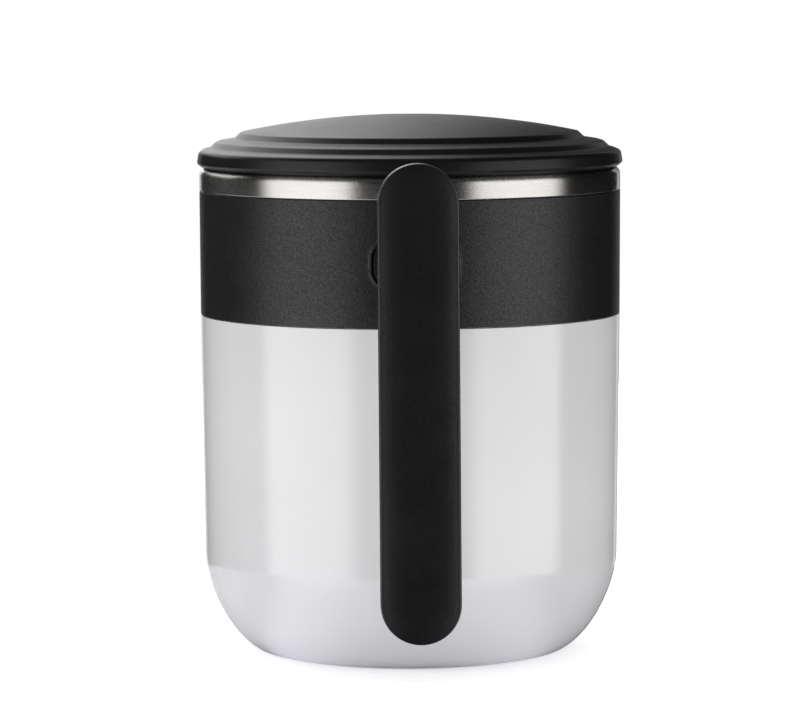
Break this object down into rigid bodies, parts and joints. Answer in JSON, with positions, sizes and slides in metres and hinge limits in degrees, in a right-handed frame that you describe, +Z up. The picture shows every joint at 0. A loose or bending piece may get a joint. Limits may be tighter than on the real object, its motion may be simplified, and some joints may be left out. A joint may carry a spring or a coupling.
{
  "type": "travel mug",
  "caption": "Insulated mug: steel cup in a white shell with a black collar, an upright strap handle on one arm, and a stepped press-on lid with a sip slider.",
  "frame": {"origin": "centre of the flat foot, on the surface that the mug stands on", "axes": "+Z up along the mug's axis, -Y towards the handle, +Y towards the sip hole, +X to the right seen from the handle side"},
  "size_m": [0.0908, 0.1244, 0.115],
  "materials": {
    "white_shell": "glossy white moulded plastic",
    "grey_silicone": "matt grey silicone",
    "steel": "satin stainless steel",
    "black_silicone": "matt black silicone",
    "black_collar": "matt black moulded plastic",
    "black_handle": "satin black moulded plastic",
    "screw_steel": "plain zinc-plated steel",
    "black_lid": "satin black moulded plastic"
  },
  "bodies": {
    "mug": {"outer_shell": "white_shell", "base_pad": "grey_silicone", "inner_liner": "steel", "liner_gasket": "black_silicone", "shell_gasket": "black_silicone", "collar": "black_collar", "handle_frame": "black_handle", "handle_cover": "black_handle", "handle_screw_left": "screw_steel", "handle_screw_right": "screw_steel"},
    "lid": {"lid_cover": "black_lid", "lid_plug": "black_lid", "lid_gasket": "black_silicone"},
    "slider": {"slider": "black_lid", "slider_seal": "grey_silicone"}
  },
  "joints": [
    {"name": "lid_lift", "type": "slide", "parent": "mug", "child": "lid", "axis": [0, 0, 1], "range_m": [0, 0.03]},
    {"name": "slider_open", "type": "slide", "parent": "lid", "child": "slider", "axis": [0, -1, 0], "range_m": [0, 0.009]}
  ]
}
